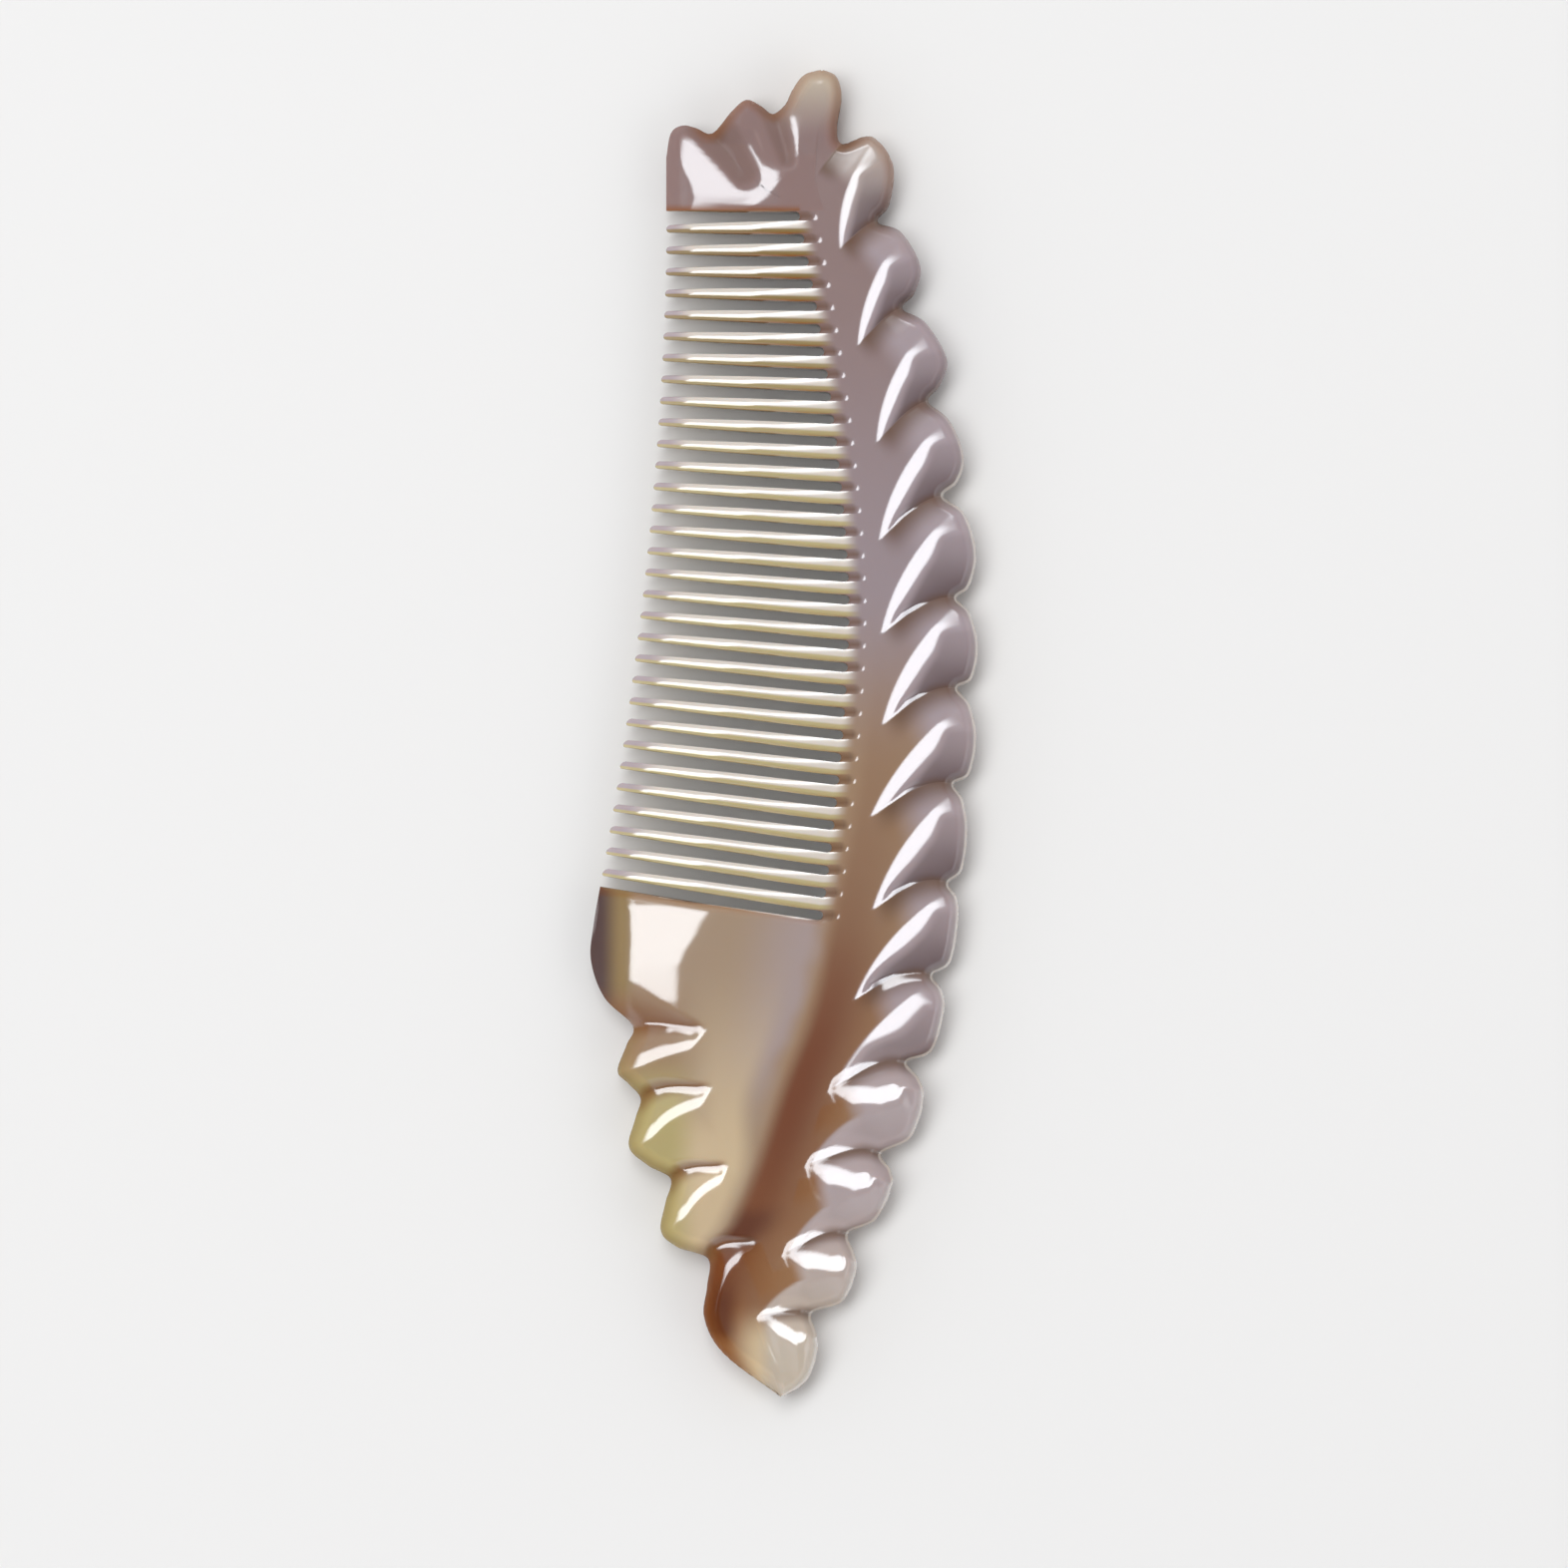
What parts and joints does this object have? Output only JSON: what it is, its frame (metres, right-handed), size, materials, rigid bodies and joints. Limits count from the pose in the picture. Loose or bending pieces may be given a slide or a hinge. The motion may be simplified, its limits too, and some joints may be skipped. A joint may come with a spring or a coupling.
{
  "type": "horn pocket comb",
  "caption": "One-piece carved horn pocket comb with a scalloped, grooved back edge, thick end guards and a long row of fine tapered teeth.",
  "frame": {"origin": "centre of the bounding box on the flat underside", "axes": "+Y along the comb to the top lobe, +X to the lobed side with the teeth pointing to -X, +Z out of the carved face"},
  "size_m": [0.0438, 0.15, 0.0064],
  "materials": {
    "horn": "polished horn, mauve grey to amber and cream, slightly translucent"
  },
  "bodies": {
    "root": {"comb": "horn"}
  },
  "joints": []
}
